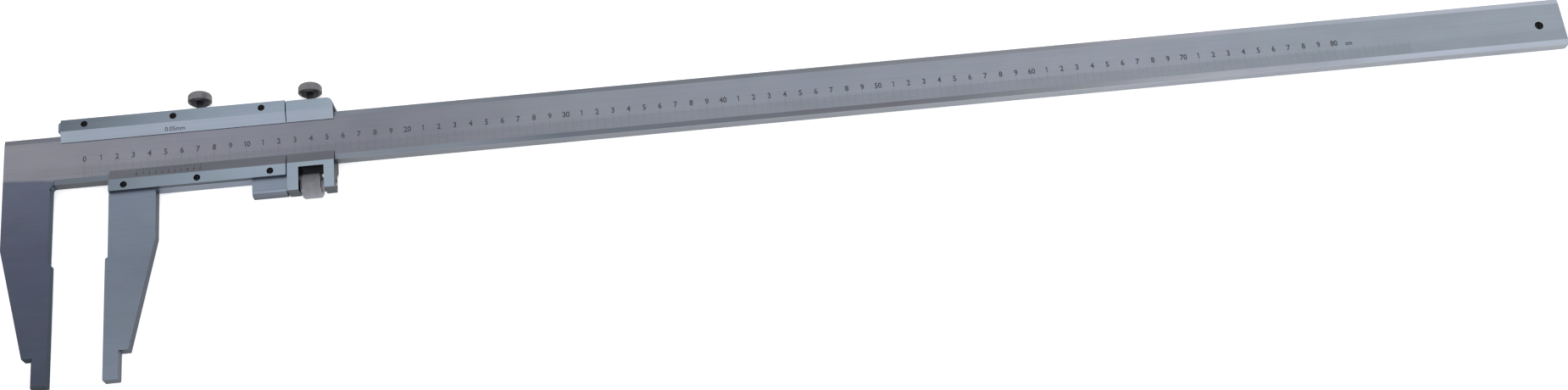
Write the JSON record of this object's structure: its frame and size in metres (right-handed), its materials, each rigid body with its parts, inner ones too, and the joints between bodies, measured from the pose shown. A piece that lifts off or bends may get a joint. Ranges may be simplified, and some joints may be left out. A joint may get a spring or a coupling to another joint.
{
  "type": "vernier caliper",
  "caption": "Long steel vernier caliper with nib jaws, a bevelled vernier slider, thumb-screw locks and a fine-adjustment nut carriage on a graduated beam.",
  "frame": {"origin": "under the middle of the bounding box, on the plane of the slider's back, which the caliper lies on", "axes": "+X along the beam from the fixed jaw to the tail, +Y away from the jaw tips towards the lock screws' knobs, +Z out of the graduated face"},
  "size_m": [1.0048, 0.1848, 0.0163],
  "materials": {
    "ground_steel": "ground and satin, brushed lengthwise",
    "satin_steel": "satin plated, fine brushed",
    "knurled_steel": "dark plated, knurled",
    "blackened_steel": "black oxide",
    "spring_steel": "bright drawn",
    "brass": "machined"
  },
  "bodies": {
    "beam": {"main_beam": "ground_steel", "end_stop_screw": "blackened_steel"},
    "slider": {"slider_body": "satin_steel", "top_guide_plate": "satin_steel", "vernier_plate": "satin_steel", "top_plate_screw_1": "blackened_steel", "top_plate_screw_2": "blackened_steel", "top_plate_screw_3": "blackened_steel", "vernier_plate_screw_1": "blackened_steel", "vernier_plate_screw_2": "blackened_steel", "vernier_plate_screw_3": "blackened_steel", "slider_gib": "spring_steel", "gib_set_screw_1": "blackened_steel", "gib_set_screw_2": "blackened_steel", "fine_adjust_screw": "spring_steel", "screw_retaining_pin": "spring_steel"},
    "slider_lock_foot": {"slider_lock_pad": "brass"},
    "slider_lock": {"slider_lock_screw": "knurled_steel"},
    "carriage": {"carriage_body": "satin_steel", "carriage_gib": "spring_steel"},
    "carriage_lock_foot": {"carriage_lock_pad": "brass"},
    "carriage_lock": {"carriage_lock_screw": "knurled_steel"},
    "fine_nut": {"fine_adjust_nut": "knurled_steel"}
  },
  "joints": [
    {"name": "slider_slide", "type": "slide", "parent": "beam", "child": "slider", "axis": [1, 0, 0], "range_m": [-0.0331, 0.7668]},
    {"name": "slider_pad_slide", "type": "slide", "parent": "slider", "child": "slider_lock_foot", "axis": [0, 1, 0], "range_m": [0, 0.00105]},
    {"name": "slider_lock_turn", "type": "hinge", "parent": "slider_lock_foot", "child": "slider_lock", "pos_m": [-0.38295, 0.0851, 0.00835], "axis": [0, 1, 0], "range_deg": [0, 540]},
    {"name": "carriage_slide", "type": "slide", "parent": "slider", "child": "carriage", "axis": [1, 0, 0], "range_m": [0, 0.006]},
    {"name": "fine_nut_turn", "type": "hinge", "parent": "carriage", "child": "fine_nut", "pos_m": [-0.31315, 0.0225, 0.00835], "axis": [1, 0, 0], "range_deg": [0, 2700]},
    {"name": "carriage_pad_slide", "type": "slide", "parent": "carriage", "child": "carriage_lock_foot", "axis": [0, 1, 0], "range_m": [0, 0.00105]},
    {"name": "carriage_lock_turn", "type": "hinge", "parent": "carriage_lock_foot", "child": "carriage_lock", "pos_m": [-0.31365, 0.0851, 0.00835], "axis": [0, 1, 0], "range_deg": [0, 540]}
  ],
  "couplings": [
    {"joint": "slider_pad_slide", "follows": "slider_lock_turn", "m_per_rad": 0.00011141},
    {"joint": "fine_nut_turn", "follows": "carriage_slide", "rad_per_m": 7854},
    {"joint": "carriage_pad_slide", "follows": "carriage_lock_turn", "m_per_rad": 0.00011141}
  ]
}
